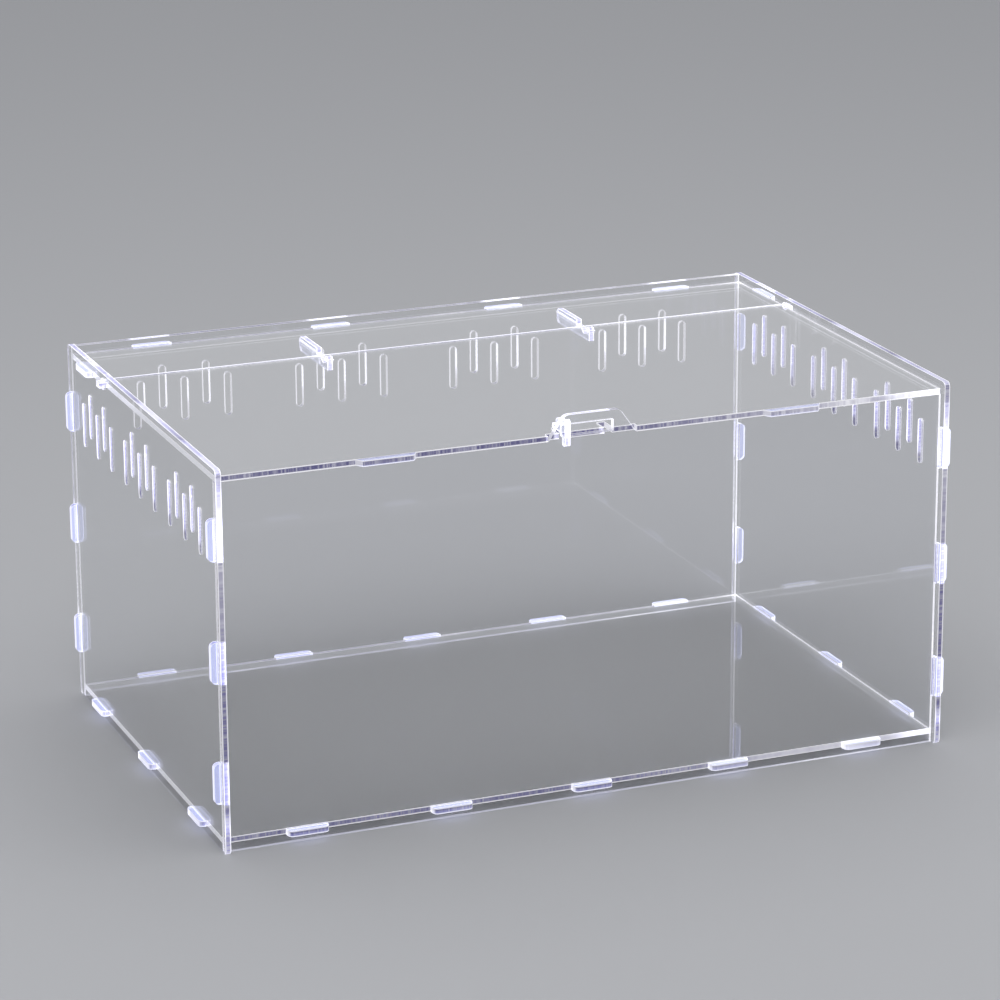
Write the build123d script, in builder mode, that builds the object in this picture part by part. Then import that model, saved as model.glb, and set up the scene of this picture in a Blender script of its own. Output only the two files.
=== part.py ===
from build123d import *
import math
import os

os.makedirs("parts", exist_ok=True)

# Driving sizes of the box, in millimetres
box_length = 300.0          # left panel's outer face to right panel's outer face
box_depth = 191.0           # front edge to back edge of the side panels
wall_height = 150.0         # table to the top edge of the side and back panels
sheet = 2.3                 # thickness of the clear sheet that every piece is cut from
rim = 3.0                   # how far front, back, base and lid sit in from the side panels' edges
panel_corner = 2.0          # rounding of the side panels' outer corners

# Clearances
fit_gap = 0.1               # between a tab and its slot, and between two glued panels
running_gap = 0.3           # between the box and a piece that moves past it
lid_side_gap = 0.45         # lid to side panel, each side
pivot_gap = 0.09            # lid's pivot ear in its round hole

# Tabs that join the panels
tab_length = 16.2
tab_proud = 2.5
tab_round = 2.0
tab_root = 1.0              # how far a tab's outline starts inside its own panel
base_front_tab_count = 5
base_front_tab_pitch = 58.2
base_side_tab_count = 3
base_side_tab_pitch = 64.0
wall_tab_count = 3
wall_tab_pitch = 47.5
strip_tab_count = 4
strip_tab_pitch = 77.2
strip_side_tab_from_back = 27.0     # back edge of the side panel to the strip's side tab

# Air slots in the side and back panels
vent_length = 18.3
vent_width = 3.0
vent_pitch = 9.3
vent_step = 5.8             # how much higher every second slot sits
vents_in_group = 5
vent_below_top = 38.0       # top edge of the wall to the low slots' bottom ends
side_vent_groups = 3
side_vent_group_pitch = 56.4
back_vent_groups = 4
back_vent_group_pitch = 68.3

# Lid and its pivots
hinge_from_back = 49.5      # back edge of the side panel to the pivot line
ear_width = 4.0
ear_proud = 1.5
lip_length = 24.0
lip_taper = 4.0             # how much shorter a lip is at its outer edge
lip_offset = 83.0           # middle of the lid to the middle of a lip
lip_reach = 3.0

# Hinge supports, two plates on edge in the rear strip
support_offset = 57.0
support_seat_setback = 4.9  # strip's front edge to the support's slot
support_seat_length = 21.0
support_rise = 1.6          # above the strip
support_floor = 2.0         # under the lid's pivot bar
support_chamfer = 1.4
bar_reach = 2.9             # pivot line to the front of the bar behind a horn's slot
horn_thickness = 2.0
horn_rise = 1.0             # above the lid

# Hasp tongue on the front panel, and the key that slides in its window
tongue_base = 36.0
tongue_top = 22.6
tongue_height = 9.6
tongue_round = 3.6
window_length = 21.3
window_height = 4.5
window_shift = -2.05        # window's middle from the box's middle
window_sill = 1.0           # below the lid's top face
key_side_play = 0.15
key_drop_play = 0.1
key_clear = 0.2             # key's head and arm to the tongue's faces
key_neck = 4.2
key_head = 2.6
key_head_up = 2.7           # head above the neck
key_head_down = 3.4         # head below the neck
key_head_round = 1.2
key_arm = 3.4
key_arm_up = 1.9            # arm above the neck
key_arm_round = 1.4
key_toe = 3.4               # low end of the arm, behind its high part
key_toe_height = 1.7

# Places worked out from the driving sizes
half_length = box_length / 2
half_depth = box_depth / 2
side_inner = half_length - sheet
front_outer = -half_depth + rim
front_inner = front_outer + sheet
back_outer = half_depth - rim
back_inner = back_outer - sheet
base_middle = rim + sheet / 2
lid_top = wall_height - rim
lid_bottom = lid_top - sheet
panel_half = side_inner - fit_gap
tab_reach = fit_gap + sheet + tab_proud
hinge_y = half_depth - hinge_from_back
hinge_z = lid_bottom + sheet / 2
ear_sweep = math.hypot(ear_width / 2, sheet / 2)
strip_front = hinge_y + ear_sweep + running_gap
strip_back = back_inner - fit_gap
strip_side_tab = half_depth - strip_side_tab_from_back
seat_front = strip_front + support_seat_setback
seat_back = seat_front + support_seat_length
front_top = lid_bottom - fit_gap

# Rows of tab positions, each row centred on zero


def row(count, pitch):
    return [(i - (count - 1) / 2) * pitch for i in range(count)]


base_front_tabs = row(base_front_tab_count, base_front_tab_pitch)
base_side_tabs = row(base_side_tab_count, base_side_tab_pitch)
wall_tabs = [wall_height / 2 + z for z in row(wall_tab_count, wall_tab_pitch)]
strip_tabs = row(strip_tab_count, strip_tab_pitch)

# One tab, drawn pointing along +Y from the edge of its panel
with BuildSketch() as tab:
    with Locations((0, -tab_root)):
        Rectangle(tab_length, tab_reach + tab_root, align=(Align.CENTER, Align.MIN))
    fillet(tab.vertices().group_by(Axis.Y)[-1], radius=tab_round)


def put_tabs(places, turn):
    """Tabs with their roots at the places, turned to point out of the panel."""
    with Locations(*places):
        add(tab.sketch, rotation=turn)


def cut_tab_slots(places, turn=0):
    """Slots that a tab passes through, one at each place."""
    with Locations(*places):
        Rectangle(tab_length + 2 * fit_gap, sheet + 2 * fit_gap, rotation=turn, mode=Mode.SUBTRACT)


def cut_vents(group_count, group_pitch):
    """Groups of upright air slots, every second slot a step higher."""
    low_middle = wall_height - vent_below_top + vent_length / 2
    across = row(vents_in_group, vent_pitch)
    for group in row(group_count, group_pitch):
        with Locations(*[(group + x, low_middle + (i % 2) * vent_step) for i, x in enumerate(across)]):
            SlotOverall(vent_length, vent_width, rotation=90, mode=Mode.SUBTRACT)


# Side panel outline, seen along X with Y across and Z up
with BuildSketch() as side_profile:
    with Locations((0, wall_height / 2)):
        Rectangle(box_depth, wall_height)
    fillet(side_profile.vertices(), radius=panel_corner)
    cut_tab_slots([(y, base_middle) for y in base_side_tabs])
    cut_tab_slots([(front_outer + sheet / 2, z) for z in wall_tabs], turn=90)
    cut_tab_slots([(back_outer - sheet / 2, z) for z in wall_tabs], turn=90)
    cut_tab_slots([(strip_side_tab, hinge_z)])
    with Locations((hinge_y, hinge_z)):
        Circle(ear_sweep + pivot_gap, mode=Mode.SUBTRACT)
    cut_vents(side_vent_groups, side_vent_group_pitch)

with BuildPart() as left_panel:
    with BuildSketch(Plane.YZ.offset(-half_length)):
        add(side_profile.sketch)
    extrude(amount=sheet)

with BuildPart() as right_panel:
    with BuildSketch(Plane.YZ.offset(side_inner)):
        add(side_profile.sketch)
    extrude(amount=sheet)

# Front panel outline with the hasp tongue and its window, X across and Z up
tongue_slope = math.degrees(math.atan2(tongue_height, (tongue_base - tongue_top) / 2))
sill_z = lid_top - window_sill
window_z = sill_z + window_height / 2
window_left = window_shift - window_length / 2

with BuildSketch() as front_profile:
    with Locations((0, front_top)):
        Trapezoid(tongue_base, tongue_height, tongue_slope, align=(Align.CENTER, Align.MIN))
    fillet(front_profile.vertices().group_by(Axis.Y)[-1], radius=tongue_round)
    Rectangle(2 * panel_half, front_top, align=(Align.CENTER, Align.MIN))
    put_tabs([(panel_half, z) for z in wall_tabs], turn=-90)
    put_tabs([(-panel_half, z) for z in wall_tabs], turn=90)
    cut_tab_slots([(x, base_middle) for x in base_front_tabs])
    with Locations((window_shift, window_z)):
        Rectangle(window_length, window_height, mode=Mode.SUBTRACT)

with BuildPart() as front_panel:
    with BuildSketch(Plane.XZ.offset(-front_inner)):
        add(front_profile.sketch)
    extrude(amount=sheet)

# Back panel, as high as the side panels, with slots for the base and the rear strip
with BuildSketch() as back_profile:
    Rectangle(2 * panel_half, wall_height, align=(Align.CENTER, Align.MIN))
    put_tabs([(panel_half, z) for z in wall_tabs], turn=-90)
    put_tabs([(-panel_half, z) for z in wall_tabs], turn=90)
    cut_tab_slots([(x, base_middle) for x in base_front_tabs])
    cut_tab_slots([(x, hinge_z) for x in strip_tabs])
    cut_vents(back_vent_groups, back_vent_group_pitch)

with BuildPart() as back_panel:
    with BuildSketch(Plane.XZ.offset(-back_outer)):
        add(back_profile.sketch)
    extrude(amount=sheet)

# Base panel, held off the table by the rim and tabbed into all four walls
base_front = front_inner + fit_gap
base_back = back_inner - fit_gap

with BuildPart() as base_panel:
    with BuildSketch(Plane.XY.offset(rim)):
        with Locations((0, base_front)):
            Rectangle(2 * panel_half, base_back - base_front, align=(Align.CENTER, Align.MIN))
        put_tabs([(x, base_back) for x in base_front_tabs], turn=0)
        put_tabs([(x, base_front) for x in base_front_tabs], turn=180)
        put_tabs([(panel_half, y) for y in base_side_tabs], turn=-90)
        put_tabs([(-panel_half, y) for y in base_side_tabs], turn=90)
    extrude(amount=sheet)

# Rear top strip, fixed behind the lid, with two slots that the hinge supports stand in
with BuildPart() as rear_top_strip:
    with BuildSketch(Plane.XY.offset(lid_bottom)):
        with Locations((0, strip_front)):
            Rectangle(2 * panel_half, strip_back - strip_front, align=(Align.CENTER, Align.MIN))
        put_tabs([(x, strip_back) for x in strip_tabs], turn=0)
        put_tabs([(panel_half, strip_side_tab)], turn=-90)
        put_tabs([(-panel_half, strip_side_tab)], turn=90)
        with Locations(*[(x, (seat_front + seat_back) / 2) for x in (-support_offset, support_offset)]):
            Rectangle(
                sheet + 2 * fit_gap,
                support_seat_length + 2 * fit_gap,
                mode=Mode.SUBTRACT,
            )
    extrude(amount=sheet)

# Hinge support: a plate on edge with an open pocket for the lid's pivot bar and a horn in
# front of it that stands through the lid
bar_sweep = math.hypot(bar_reach, sheet / 2)
horn_rear = hinge_y - bar_sweep - running_gap
horn_front = horn_rear - horn_thickness
horn_top = lid_top + horn_rise
pocket_half = (strip_front - horn_rear) / 2
support_bottom = hinge_z - pocket_half - support_floor
shoulder = lid_bottom - fit_gap
support_top = lid_top + support_rise

with BuildSketch() as support_profile:
    with Locations((horn_front, support_bottom)):
        Rectangle(seat_back - horn_front, shoulder - support_bottom, align=(Align.MIN, Align.MIN))
        Rectangle(horn_thickness, horn_top - support_bottom, align=(Align.MIN, Align.MIN))
    with Locations((seat_front, support_bottom)):
        Rectangle(support_seat_length, support_top - support_bottom, align=(Align.MIN, Align.MIN))
    chamfer(support_profile.vertices().group_by(Axis.X)[-1], length=support_chamfer)
    with Locations((strip_front - pocket_half, hinge_z)):
        Circle(pocket_half, mode=Mode.SUBTRACT)


def support_at(middle):
    """One hinge support, its thickness centred on the given X."""
    with BuildPart() as support:
        with BuildSketch(Plane.YZ.offset(middle - sheet / 2)):
            add(support_profile.sketch)
        extrude(amount=sheet)
    return support


hinge_support_left = support_at(-support_offset)
hinge_support_right = support_at(support_offset)

# Sliding key: a head in front of the tongue, a neck in its window, an arm over the lid
neck_bottom = sill_z + key_drop_play
neck_top = neck_bottom + key_neck
head_back = front_outer - key_clear
head_front = head_back - key_head
arm_front = front_inner + key_clear
arm_back = arm_front + key_arm + key_toe
arm_bottom = lid_top + running_gap
key_left = window_left + key_side_play

with BuildSketch() as key_profile:
    with Locations((head_front, neck_bottom - key_head_down)):
        Rectangle(key_head, key_head_down + key_neck + key_head_up, align=(Align.MIN, Align.MIN))
    fillet(key_profile.vertices(), radius=key_head_round)
    with BuildSketch(mode=Mode.PRIVATE) as arm_profile:
        with Locations((arm_front, arm_bottom)):
            Rectangle(key_arm, neck_top + key_arm_up - arm_bottom, align=(Align.MIN, Align.MIN))
        fillet(arm_profile.vertices().group_by(Axis.Y)[-1], radius=key_arm_round)
    add(arm_profile.sketch)
    with Locations((arm_front, arm_bottom)):
        Rectangle(key_arm + key_toe, key_toe_height, align=(Align.MIN, Align.MIN))
    with Locations((head_back - key_clear, neck_bottom)):
        Rectangle(arm_front - head_back + key_clear, key_neck, align=(Align.MIN, Align.MIN))

with BuildPart() as latch_key:
    with BuildSketch(Plane.YZ.offset(key_left)):
        add(key_profile.sketch)
    extrude(amount=sheet)

# Lid: two lips at the front, a notch round the tongue, two small notches that let the key's
# arm through at the ends of its travel, slots for the horns, and an ear at each rear corner
lid_half = side_inner - lid_side_gap
lid_back = hinge_y + ear_width / 2
ear_end = half_length + ear_proud
tongue_notch_back = arm_front + running_gap
arm_notch_width = sheet + 2 * (running_gap + key_side_play)
arm_notch_back = arm_back + running_gap
arm_notches = [key_left + sheet / 2, -key_left - sheet / 2 + 2 * window_shift]
horn_slot_front = hinge_y - math.hypot(hinge_y - horn_front, horn_top - hinge_z) - running_gap
horn_slot_back = hinge_y - bar_reach

with BuildPart() as lid:
    with BuildSketch(Plane.XY.offset(lid_bottom)):
        with Locations((0, front_outer)):
            Rectangle(2 * lid_half, lid_back - front_outer, align=(Align.CENTER, Align.MIN))
        for side in (-1, 1):
            with Locations((side * lip_offset, front_outer)):
                lip_slope = math.degrees(math.atan2(lip_reach, lip_taper / 2))
                Trapezoid(lip_length, lip_reach, lip_slope, rotation=180, align=(Align.CENTER, Align.MIN))
            with Locations((side * (ear_end + lid_half) / 2, hinge_y)):
                Rectangle(ear_end - lid_half + tab_root, ear_width)
            with Locations((side * support_offset, (horn_slot_front + horn_slot_back) / 2)):
                Rectangle(
                    sheet + 2 * running_gap,
                    horn_slot_back - horn_slot_front,
                    mode=Mode.SUBTRACT,
                )
        with Locations((0, front_outer)):
            Rectangle(
                tongue_base + 2 * running_gap,
                2 * (tongue_notch_back - front_outer),
                mode=Mode.SUBTRACT,
            )
        with Locations(*[(x, front_inner) for x in arm_notches]):
            Rectangle(arm_notch_width, 2 * (arm_notch_back - front_inner), mode=Mode.SUBTRACT)
    extrude(amount=sheet)

# Names and files
pieces = {
    "left_panel": left_panel,
    "right_panel": right_panel,
    "front_panel": front_panel,
    "back_panel": back_panel,
    "base_panel": base_panel,
    "rear_top_strip": rear_top_strip,
    "hinge_support_left": hinge_support_left,
    "hinge_support_right": hinge_support_right,
    "latch_key": latch_key,
    "lid": lid,
}
for name, piece in pieces.items():
    piece.part.label = name
    export_step(piece.part, f"parts/{name}.step")
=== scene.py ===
import bpy
import bmesh
from mathutils import Matrix, Vector


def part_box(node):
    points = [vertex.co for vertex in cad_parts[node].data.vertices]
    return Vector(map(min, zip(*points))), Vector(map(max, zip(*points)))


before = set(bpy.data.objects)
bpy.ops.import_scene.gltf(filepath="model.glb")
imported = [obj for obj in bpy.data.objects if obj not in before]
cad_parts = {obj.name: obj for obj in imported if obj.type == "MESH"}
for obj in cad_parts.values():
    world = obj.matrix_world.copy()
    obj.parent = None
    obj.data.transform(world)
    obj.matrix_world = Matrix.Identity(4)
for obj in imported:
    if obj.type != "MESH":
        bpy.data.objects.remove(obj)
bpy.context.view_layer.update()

# Side panels
# Two upright sheets of clear acrylic, full depth and height, laser cut with air slots near the top.
# The faces stay polished. A cut edge gathers the light that runs inside the sheet, and that light is painted
# on
# as glow and lit base colour: its two arrises are painted white lines, and the band between them is a painted
# violet glow that comes and goes along the edge.
SHEET = 0.0023
BOX_HALF_LENGTH = 0.150
SIDE_INNER = BOX_HALF_LENGTH - SHEET
FAR_OUT = 10.0
X_AXIS = (1.0, 0.0, 0.0)
Y_AXIS = (0.0, 1.0, 0.0)
Z_AXIS = (0.0, 0.0, 1.0)

POLISHED = (0.985, 0.988, 0.995, 1.0)
# Cut edges: a lit and a dim base colour and a white and a violet painted glow, for the light inside the sheet
CUT_LIT_BASE = (0.80, 0.81, 0.90, 1.0)
CUT_DIM_BASE = (0.40, 0.395, 0.56, 1.0)
CUT_BRIGHT_GLOW = (0.95, 0.95, 1.0, 1.0)
CUT_VIOLET_GLOW = (0.10, 0.095, 0.22, 1.0)
# Tabs and small plates: a bluish base colour and a painted pale glow for the light their edges scatter
TAB_GLOW_BASE = (0.86, 0.875, 0.97, 1.0)
TAB_GLOW = (0.145, 0.16, 0.29, 1.0)
DARK = (0.0, 0.0, 0.0, 1.0)

# Each band runs from where an effect starts to where it is full
EDGE_BAND = (0.55, 0.25)
TAB_BAND = (0.0, 0.0004)
ARRIS_BAND = (0.29 * SHEET, 0.42 * SHEET)
DRIFT_BAND = (0.50, 0.66)
GLINT_BAND = (0.42, 0.72)
RIGHT_BAND = (0.0, 0.13)
DOWN_BAND = (-0.6, -0.9)
SIDEWAYS_BAND = (0.6, 0.9)
SMEAR_BAND = (0.50, 0.80)

# Strengths of the painted glow and painted highlights on the cut edges
DRIFT_LIGHT = 0.5
GLINT_LIGHT = 0.35
DOWN_LIGHT = 0.9
SIDEWAYS_LIGHT = 0.75
SMEAR_ROUGHNESS = 0.035
MILK_ROUGHNESS = 0.14
CUT_ROUGHNESS = 0.35

BEAM_SCALE = 1400.0
BEAM_DETAIL = 1.0
DRIFT_SCALE = 15.0
DRIFT_DETAIL = 3.0
SMEAR_SCALE = 22.0
SMEAR_DETAIL = 6.0

BEAM_LINE_DEPTH = 0.0001
BEAM_LINE_STRENGTH = 0.3
ACRYLIC_IOR = 1.49
GLOW_STRENGTH = 0.9

# Where a Mix node keeps its two sides and its result
MIX_SOCKETS = {"FLOAT": (2, 3, 0), "RGBA": (6, 7, 2)}


def link(tree, source, target):
    """Joins two sockets."""
    tree.links.new(source, target)


def value_between(tree, value, band, top=1.0):
    """A value's way along a band, from 0 to the top and no further."""
    spread = tree.nodes.new("ShaderNodeMapRange")
    spread.inputs["From Min"].default_value = band[0]
    spread.inputs["From Max"].default_value = band[1]
    spread.inputs["To Min"].default_value = 0.0
    spread.inputs["To Max"].default_value = top
    link(tree, value, spread.inputs["Value"])
    return spread.outputs["Result"]


def noise(tree, vector, scale, detail):
    """A Noise node's value on the given coordinates."""
    texture = tree.nodes.new("ShaderNodeTexNoise")
    texture.inputs["Scale"].default_value = scale
    texture.inputs["Detail"].default_value = detail
    link(tree, vector, texture.inputs["Vector"])
    return texture.outputs["Fac"]


def axes_of(tree, vector):
    """A vector's X, Y and Z sockets."""
    split = tree.nodes.new("ShaderNodeSeparateXYZ")
    link(tree, vector, split.inputs["Vector"])
    return split.outputs


def vector_math(tree, operation, first, second=None, scale=None):
    """A Vector Math node's outputs, on one vector, on two, or on one and a scale."""
    node = tree.nodes.new("ShaderNodeVectorMath")
    node.operation = operation
    link(tree, first, node.inputs[0])
    if second is not None:
        link(tree, second, node.inputs[1])
    if scale is not None:
        link(tree, scale, node.inputs["Scale"])
    return node.outputs


def number_math(tree, operation, first, second=None):
    """A Math node's value, on one number or on two."""
    node = tree.nodes.new("ShaderNodeMath")
    node.operation = operation
    link(tree, first, node.inputs[0])
    if second is not None:
        link(tree, second, node.inputs[1])
    return node.outputs["Value"]


def mixed(tree, kind, factor, first, second):
    """A Mix node's result, FLOAT or RGBA; either side may be a plain value or a socket."""
    node = tree.nodes.new("ShaderNodeMix")
    node.data_type = kind
    link(tree, factor, node.inputs["Factor"])
    first_at, second_at, result_at = MIX_SOCKETS[kind]
    for place, side in ((first_at, first), (second_at, second)):
        if isinstance(side, (float, tuple)):
            node.inputs[place].default_value = side
        else:
            link(tree, side, node.inputs[place])
    return node.outputs[result_at]


def sheet_light_group():
    """Colour, roughness, glow and height of cut clear sheet, from how the surface faces."""
    group = bpy.data.node_groups.new("sheet_light", "ShaderNodeTree")
    inward = (
        ("Across Sheet", "Vector"),
        ("Middle", "Float"),
        ("Inside Walls", "Vector"),
        ("Glow And Frost", "Float"),
        ("Light At Right", "Float"),
    )
    outward = (
        ("Color", "Color"),
        ("Roughness", "Float"),
        ("Glow", "Color"),
        ("Height", "Float"),
    )
    for name, kind in inward:
        group.interface.new_socket(name, in_out="INPUT", socket_type="NodeSocket" + kind)
    for name, kind in outward:
        group.interface.new_socket(name, in_out="OUTPUT", socket_type="NodeSocket" + kind)
    given = group.nodes.new("NodeGroupInput").outputs
    result = group.nodes.new("NodeGroupOutput").inputs
    coordinates = group.nodes.new("ShaderNodeTexCoord").outputs
    place = coordinates["Object"]
    normal = coordinates["Normal"]

    # Cut edges face along the sheet, polished faces face across it
    facing = vector_math(group, "DOT_PRODUCT", normal, given["Across Sheet"])["Value"]
    squareness = number_math(group, "MULTIPLY", facing, facing)
    edge = value_between(group, squareness, EDGE_BAND)

    # Tabs that stand out past the walls scatter the light of their edges through the whole tab: it is painted
    # there as a pale glow over a bluish base colour, with a frosted roughness
    distance = vector_math(group, "ABSOLUTE", place)["Vector"]
    past = axes_of(group, vector_math(group, "SUBTRACT", distance, given["Inside Walls"])["Vector"])
    furthest = number_math(group, "MAXIMUM", past["X"], past["Y"])
    tab = value_between(group, furthest, TAB_BAND)
    tab_glow_and_frost = number_math(group, "MAXIMUM", tab, given["Glow And Frost"])

    # The beam lines the cut from face to face, and the light in it comes and goes along the edge: a painted
    # glow that drifts, with painted glints along the beam lines
    depth = vector_math(group, "DOT_PRODUCT", place, given["Across Sheet"])["Value"]
    through = vector_math(group, "SCALE", given["Across Sheet"], scale=depth)["Vector"]
    along = vector_math(group, "SUBTRACT", place, through)["Vector"]
    beam_lines = noise(group, along, BEAM_SCALE, BEAM_DETAIL)
    drift = value_between(group, noise(group, along, DRIFT_SCALE, DRIFT_DETAIL), DRIFT_BAND, DRIFT_LIGHT)
    painted_glints = value_between(group, beam_lines, GLINT_BAND, GLINT_LIGHT)

    # The cuts that cross the box gather more light towards its right end, painted there as a stronger glow
    to_the_right = value_between(group, axes_of(group, place)["X"], RIGHT_BAND)
    gathered = number_math(group, "MULTIPLY", to_the_right, given["Light At Right"])
    core = number_math(group, "ADD", number_math(group, "ADD", drift, painted_glints), gathered)

    # The two arrises lie half a sheet either side of the sheet's middle, and are painted as bright lines of
    # glow
    distance_out = number_math(group, "ABSOLUTE", depth)
    off_middle = number_math(group, "SUBTRACT", distance_out, given["Middle"])
    arris = value_between(group, number_math(group, "ABSOLUTE", off_middle), ARRIS_BAND)

    # The cuts that face down or sideways are seen through a sheet, and show as one bright line, painted by
    # the way they face
    faces = axes_of(group, normal)
    downward = value_between(group, faces["Z"], DOWN_BAND, DOWN_LIGHT)
    sideways = value_between(group, number_math(group, "ABSOLUTE", faces["X"]), SIDEWAYS_BAND, SIDEWAYS_LIGHT)
    seen_through = number_math(group, "MAXIMUM", downward, sideways)
    lines = number_math(group, "MAXIMUM", arris, seen_through)
    brightness = number_math(group, "MAXIMUM", core, lines)

    face_colour = mixed(group, "RGBA", tab_glow_and_frost, POLISHED, TAB_GLOW_BASE)
    cut_colour = mixed(group, "RGBA", brightness, CUT_DIM_BASE, CUT_LIT_BASE)
    link(group, mixed(group, "RGBA", edge, face_colour, cut_colour), result["Color"])
    face_glow = mixed(group, "RGBA", tab_glow_and_frost, DARK, TAB_GLOW)
    cut_glow = mixed(group, "RGBA", brightness, CUT_VIOLET_GLOW, CUT_BRIGHT_GLOW)
    link(group, mixed(group, "RGBA", edge, face_glow, cut_glow), result["Glow"])

    # Handling leaves faint smears on the faces, and the cut is matt
    smears = value_between(group, noise(group, place, SMEAR_SCALE, SMEAR_DETAIL), SMEAR_BAND, SMEAR_ROUGHNESS)
    face_roughness = mixed(group, "FLOAT", tab_glow_and_frost, smears, MILK_ROUGHNESS)
    link(group, mixed(group, "FLOAT", edge, face_roughness, CUT_ROUGHNESS), result["Roughness"])
    link(group, number_math(group, "MULTIPLY", beam_lines, edge), result["Height"])
    return group


SHEET_LIGHT = sheet_light_group()


def clear_sheet(
    name,
    across,
    middle,
    inside_walls=(FAR_OUT, FAR_OUT, FAR_OUT),
    glow_and_frost=0.0,
    light_at_right=0.0,
):
    """Clear acrylic square to a direction, its middle that far out, with a painted pale glow and frost past
    its walls.
    """
    material = bpy.data.materials.new(name)
    material.use_nodes = True
    tree = material.node_tree
    shader = tree.nodes["Principled BSDF"]
    light = tree.nodes.new("ShaderNodeGroup")
    light.node_tree = SHEET_LIGHT
    light.inputs["Across Sheet"].default_value = across
    light.inputs["Middle"].default_value = middle
    light.inputs["Inside Walls"].default_value = inside_walls
    light.inputs["Glow And Frost"].default_value = glow_and_frost
    light.inputs["Light At Right"].default_value = light_at_right
    link(tree, light.outputs["Color"], shader.inputs["Base Color"])
    link(tree, light.outputs["Roughness"], shader.inputs["Roughness"])
    link(tree, light.outputs["Glow"], shader.inputs["Emission Color"])
    bump = tree.nodes.new("ShaderNodeBump")
    bump.inputs["Distance"].default_value = BEAM_LINE_DEPTH
    bump.inputs["Strength"].default_value = BEAM_LINE_STRENGTH
    link(tree, light.outputs["Height"], bump.inputs["Height"])
    link(tree, bump.outputs["Normal"], shader.inputs["Normal"])
    shader.inputs["Transmission Weight"].default_value = 1.0
    shader.inputs["IOR"].default_value = ACRYLIC_IOR
    shader.inputs["Emission Strength"].default_value = GLOW_STRENGTH
    return material


def finish_with(material, *names):
    """Gives the CAD pieces named the material."""
    for name in names:
        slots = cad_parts[name].data.materials
        slots.clear()
        slots.append(material)


def middle_of(node, axis):
    """How far a node's middle lies from the box's middle along an axis."""
    low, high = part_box(node)
    return abs(low[axis] + high[axis]) / 2


side_sheet = clear_sheet("side sheet", X_AXIS, middle_of("left_panel", 0))
finish_with(side_sheet, "left_panel", "right_panel")

# Front and back panels
# Upright sheets between the sides, with three tabs at each end that stand out through the side
# panels. The front one rises into the hasp tongue.
RIGHT_LIGHT = 0.4
wall_sheet = clear_sheet(
    "wall sheet",
    Y_AXIS,
    middle_of("front_panel", 1),
    inside_walls=(SIDE_INNER, FAR_OUT, FAR_OUT),
    light_at_right=RIGHT_LIGHT,
)
finish_with(wall_sheet, "front_panel", "back_panel")

# Base panel and rear top strip
# Flat sheets tabbed into the walls: the base a little above the table, the strip behind the lid.
BOX_HALF_DEPTH = 0.0955
RIM = 0.003
WALL_INNER = BOX_HALF_DEPTH - RIM - SHEET
for flat_node in ("base_panel", "rear_top_strip"):
    flat_sheet = clear_sheet(
        flat_node + " sheet",
        Z_AXIS,
        middle_of(flat_node, 2),
        inside_walls=(SIDE_INNER, WALL_INNER, FAR_OUT),
        light_at_right=RIGHT_LIGHT,
    )
    finish_with(flat_sheet, flat_node)

# Lid
# A flat sheet that turns on an ear at each rear corner, with two finger lips at its front edge.
LIP_START = BOX_HALF_DEPTH - RIM
lid_sheet = clear_sheet(
    "lid sheet",
    Z_AXIS,
    middle_of("lid", 2),
    inside_walls=(SIDE_INNER, LIP_START, FAR_OUT),
    light_at_right=RIGHT_LIGHT,
)
finish_with(lid_sheet, "lid")

# Hinge supports and latch key
# Small plates on edge. They are nearly all edge, so they look cloudy and pale: the light of their edges is
# painted over them as a pale glow, with a frosted roughness.
SUPPORT_GLOW_AND_FROST = 0.3
KEY_GLOW_AND_FROST = 0.4
support_plate = clear_sheet("support plate", X_AXIS, middle_of("hinge_support_left", 0), glow_and_frost=SUPPORT_GLOW_AND_FROST)
finish_with(support_plate, "hinge_support_left", "hinge_support_right")
key_plate = clear_sheet("key plate", X_AXIS, middle_of("latch_key", 0), glow_and_frost=KEY_GLOW_AND_FROST)
finish_with(key_plate, "latch_key")

# Floor, light and camera
# A plain studio: a pale floor, an even sky and wide soft lamps high up, where the flat panels don't
# mirror them, and the photograph's viewing angle.
FLOOR_HALF = 8.0
FLOOR_GREY = (0.45, 0.455, 0.47, 1.0)
FLOOR_ROUGHNESS = 0.7
SKY_GREY = (0.92, 0.93, 0.96, 1.0)
SKY_STRENGTH = 0.62
LAMP_SIZE = 1.2
LAMP_TARGET = Vector((0.0, 0.0, 0.07))

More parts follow.
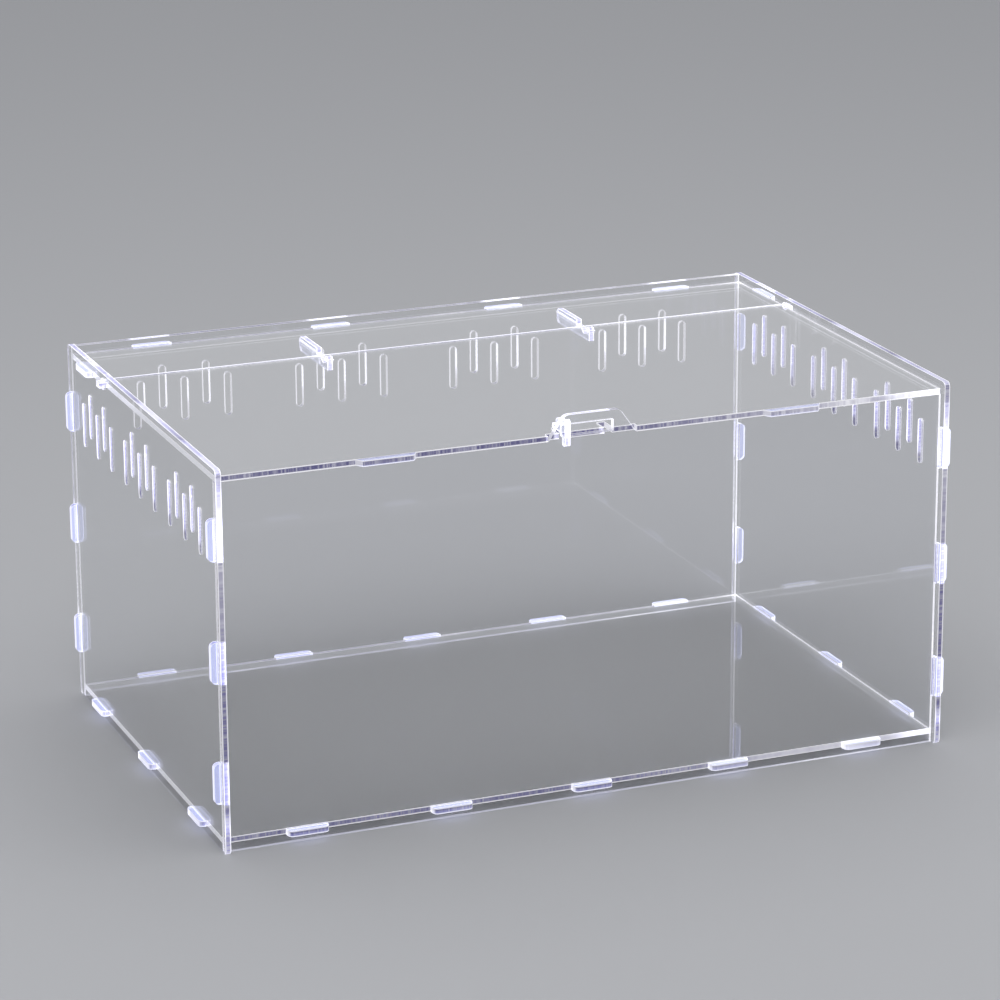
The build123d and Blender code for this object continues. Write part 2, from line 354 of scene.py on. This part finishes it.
floor_mesh = bpy.data.meshes.new("floor")
shape = bmesh.new()
bmesh.ops.create_grid(shape, x_segments=1, y_segments=1, size=FLOOR_HALF)
shape.to_mesh(floor_mesh)
shape.free()
floor = bpy.data.objects.new("floor", floor_mesh)
bpy.context.scene.collection.objects.link(floor)
floor_paint = bpy.data.materials.new("floor paint")
floor_paint.use_nodes = True
floor_shader = floor_paint.node_tree.nodes["Principled BSDF"]
floor_shader.inputs["Base Color"].default_value = FLOOR_GREY
floor_shader.inputs["Roughness"].default_value = FLOOR_ROUGHNESS
floor_mesh.materials.append(floor_paint)

world = bpy.data.worlds.new("studio")
bpy.context.scene.world = world
world.use_nodes = True
sky = world.node_tree.nodes["Background"]
sky.inputs["Color"].default_value = SKY_GREY
sky.inputs["Strength"].default_value = SKY_STRENGTH


def soft_lamp(name, place, power):
    """A square studio lamp at a place, turned to the middle of the box."""
    lamp = bpy.data.lights.new(name, "AREA")
    lamp.size = LAMP_SIZE
    lamp.energy = power
    holder = bpy.data.objects.new(name, lamp)
    holder.location = place
    holder.rotation_euler = (LAMP_TARGET - Vector(place)).to_track_quat("-Z", "Y").to_euler()
    bpy.context.scene.collection.objects.link(holder)


soft_lamp("key lamp", (-0.45, -0.55, 1.15), 4.4)
soft_lamp("fill lamp", (0.60, -0.25, 1.15), 2.6)
soft_lamp("top lamp", (0.0, 0.30, 1.30), 2.6)

# The camera's turns and place come from the corners of the box in the photograph
LENS = 141.7
SENSOR = 36.0
TURN_X = 0.3054
TURN_Y = -0.3841
TURN_Z = -0.0055
CORNER_FROM_CAMERA = Vector((-0.10227, 0.13260, 1.46682))
LEFT_FRONT_CORNER = Vector((-0.150, -0.0955, 0.0))
UPRIGHT = Matrix(((1, 0, 0), (0, 0, -1), (0, 1, 0)))
PICTURE_AXES = Matrix(((1, 0, 0), (0, -1, 0), (0, 0, -1)))

look = UPRIGHT
for turn, axis in ((TURN_Y, "Y"), (TURN_X, "X"), (TURN_Z, "Z")):
    look = Matrix.Rotation(turn, 3, axis) @ look
eye = LEFT_FRONT_CORNER - look.transposed() @ CORNER_FROM_CAMERA
camera_data = bpy.data.cameras.new("camera")
camera_data.lens = LENS
camera_data.sensor_width = SENSOR
camera = bpy.data.objects.new("camera", camera_data)
camera.matrix_world = Matrix.Translation(eye) @ (PICTURE_AXES @ look).transposed().to_4x4()
bpy.context.scene.collection.objects.link(camera)
bpy.context.scene.camera = camera
bpy.context.scene.view_settings.view_transform = "Standard"
